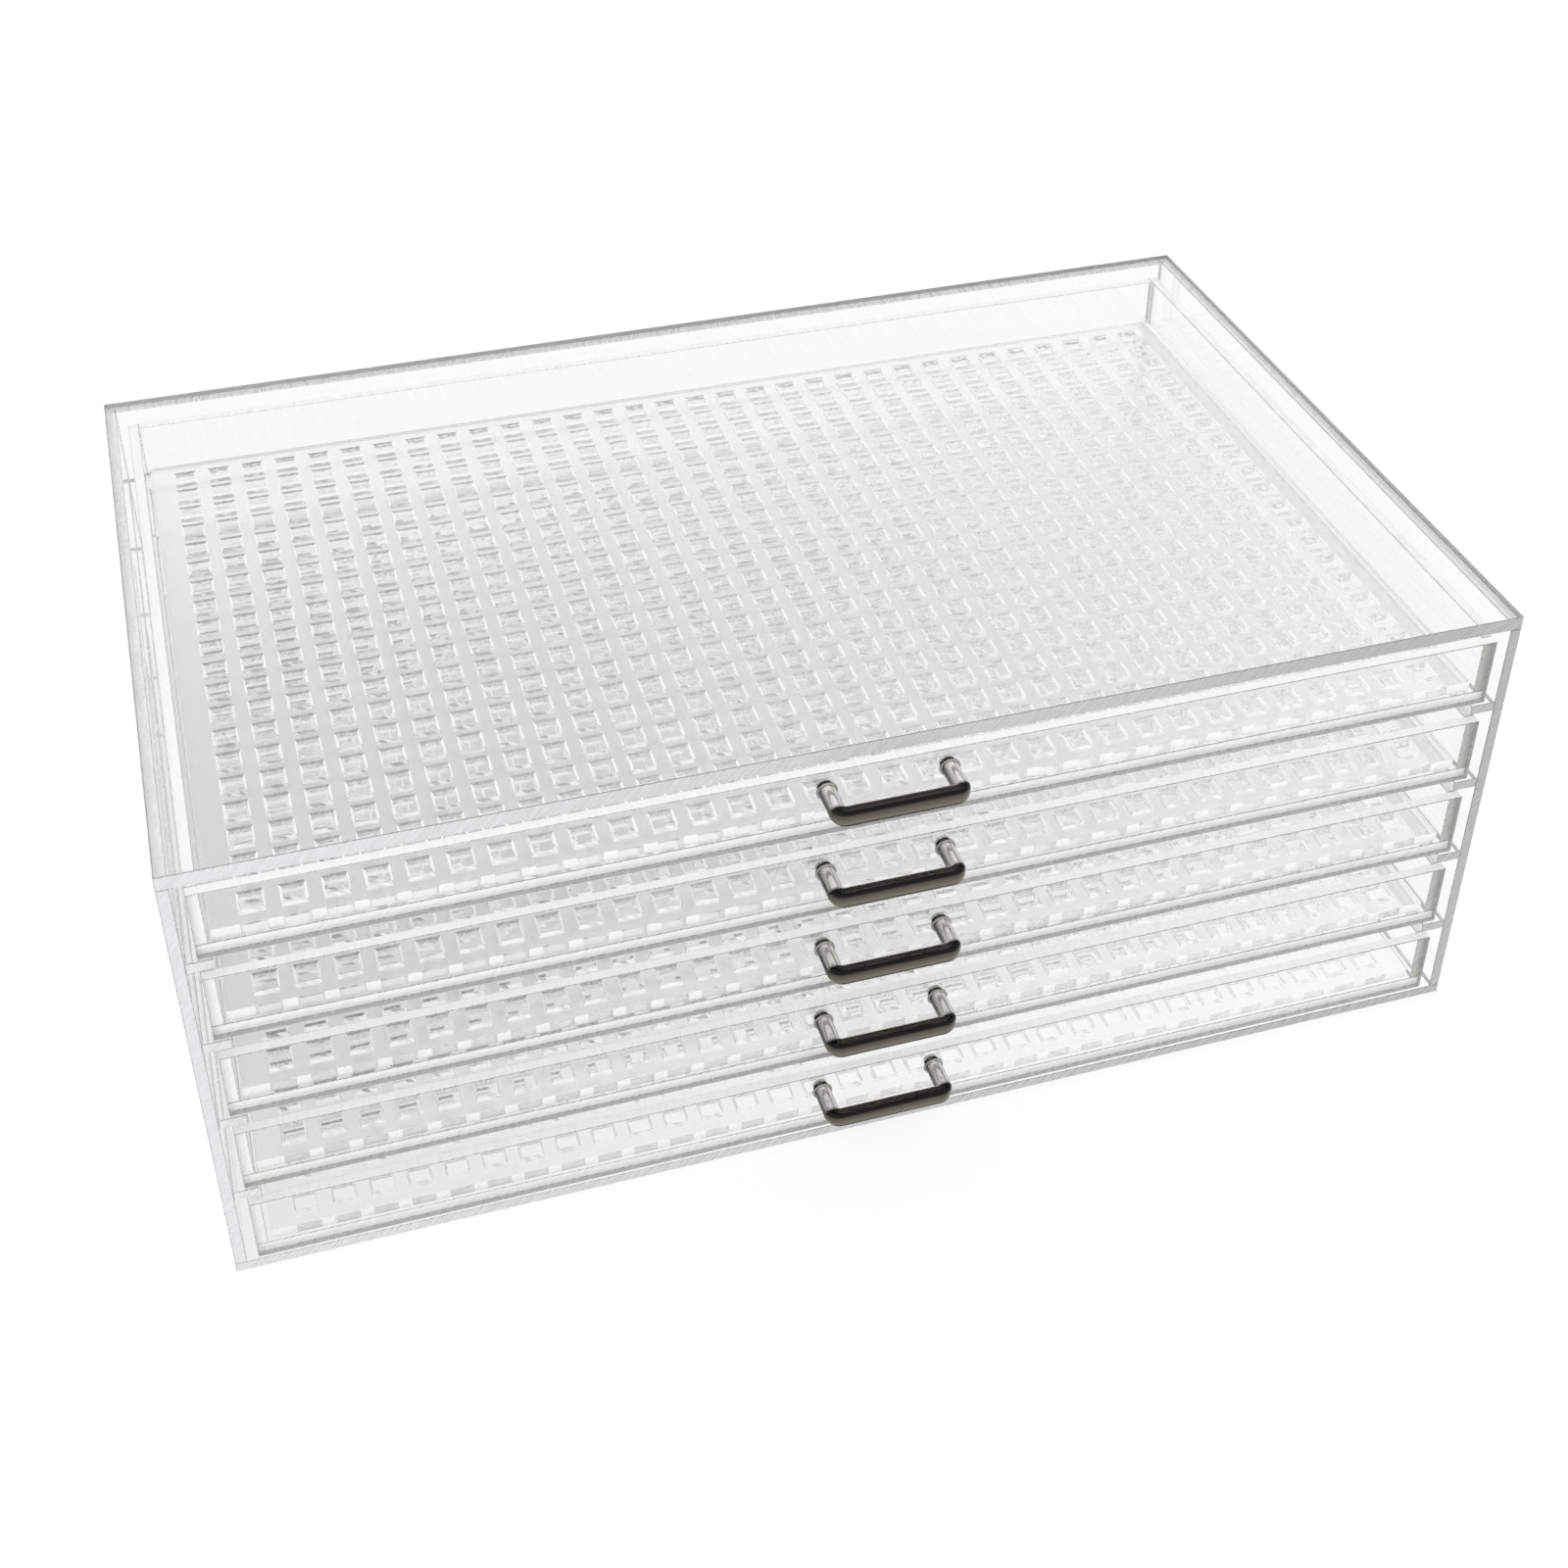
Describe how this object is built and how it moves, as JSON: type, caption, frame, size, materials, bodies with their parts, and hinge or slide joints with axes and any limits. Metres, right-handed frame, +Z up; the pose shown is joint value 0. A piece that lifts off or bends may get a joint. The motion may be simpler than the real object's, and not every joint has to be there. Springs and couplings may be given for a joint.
{
  "type": "nail polish organizer with drawers",
  "caption": "Clear acrylic cabinet with slide-out drawers, a grid insert in each drawer and a dark nickel bar handle on each front.",
  "frame": {"origin": "centre of the cabinet's underside, where it rests on a table", "axes": "+X to the right seen from the front, +Y towards the back (the drawer fronts and handles face -Y), +Z up"},
  "size_m": [0.7, 0.463, 0.273],
  "materials": {
    "clear_acrylic": "polished transparent sheet with laser-cut edges",
    "dark_nickel": "polished dark nickel plating",
    "screw_steel": "zinc-plated, satin",
    "washer_nylon": "matte black"
  },
  "bodies": {
    "case": {"case_top": "clear_acrylic", "case_bottom": "clear_acrylic", "case_left_side": "clear_acrylic", "case_right_side": "clear_acrylic", "case_back": "clear_acrylic", "rail_1_left": "clear_acrylic", "rail_1_right": "clear_acrylic", "rail_2_left": "clear_acrylic", "rail_2_right": "clear_acrylic", "rail_3_left": "clear_acrylic", "rail_3_right": "clear_acrylic", "rail_4_left": "clear_acrylic", "rail_4_right": "clear_acrylic"},
    "drawer_1": {"drawer_1_front": "clear_acrylic", "drawer_1_back": "clear_acrylic", "drawer_1_left_side": "clear_acrylic", "drawer_1_right_side": "clear_acrylic", "drawer_1_floor": "clear_acrylic", "drawer_1_insert": "clear_acrylic", "drawer_1_handle": "dark_nickel", "drawer_1_screws": "screw_steel", "drawer_1_washers": "washer_nylon"},
    "drawer_2": {"drawer_2_front": "clear_acrylic", "drawer_2_back": "clear_acrylic", "drawer_2_left_side": "clear_acrylic", "drawer_2_right_side": "clear_acrylic", "drawer_2_floor": "clear_acrylic", "drawer_2_insert": "clear_acrylic", "drawer_2_handle": "dark_nickel", "drawer_2_screws": "screw_steel", "drawer_2_washers": "washer_nylon"},
    "drawer_3": {"drawer_3_front": "clear_acrylic", "drawer_3_back": "clear_acrylic", "drawer_3_left_side": "clear_acrylic", "drawer_3_right_side": "clear_acrylic", "drawer_3_floor": "clear_acrylic", "drawer_3_insert": "clear_acrylic", "drawer_3_handle": "dark_nickel", "drawer_3_screws": "screw_steel", "drawer_3_washers": "washer_nylon"},
    "drawer_4": {"drawer_4_front": "clear_acrylic", "drawer_4_back": "clear_acrylic", "drawer_4_left_side": "clear_acrylic", "drawer_4_right_side": "clear_acrylic", "drawer_4_floor": "clear_acrylic", "drawer_4_insert": "clear_acrylic", "drawer_4_handle": "dark_nickel", "drawer_4_screws": "screw_steel", "drawer_4_washers": "washer_nylon"},
    "drawer_5": {"drawer_5_front": "clear_acrylic", "drawer_5_back": "clear_acrylic", "drawer_5_left_side": "clear_acrylic", "drawer_5_right_side": "clear_acrylic", "drawer_5_floor": "clear_acrylic", "drawer_5_insert": "clear_acrylic", "drawer_5_handle": "dark_nickel", "drawer_5_screws": "screw_steel", "drawer_5_washers": "washer_nylon"}
  },
  "joints": [
    {"name": "drawer_1_slide", "type": "slide", "parent": "case", "child": "drawer_1", "axis": [0, -1, 0], "range_m": [0, 0.3]},
    {"name": "drawer_2_slide", "type": "slide", "parent": "case", "child": "drawer_2", "axis": [0, -1, 0], "range_m": [0, 0.3]},
    {"name": "drawer_3_slide", "type": "slide", "parent": "case", "child": "drawer_3", "axis": [0, -1, 0], "range_m": [0, 0.3]},
    {"name": "drawer_4_slide", "type": "slide", "parent": "case", "child": "drawer_4", "axis": [0, -1, 0], "range_m": [0, 0.3]},
    {"name": "drawer_5_slide", "type": "slide", "parent": "case", "child": "drawer_5", "axis": [0, -1, 0], "range_m": [0, 0.3]}
  ]
}
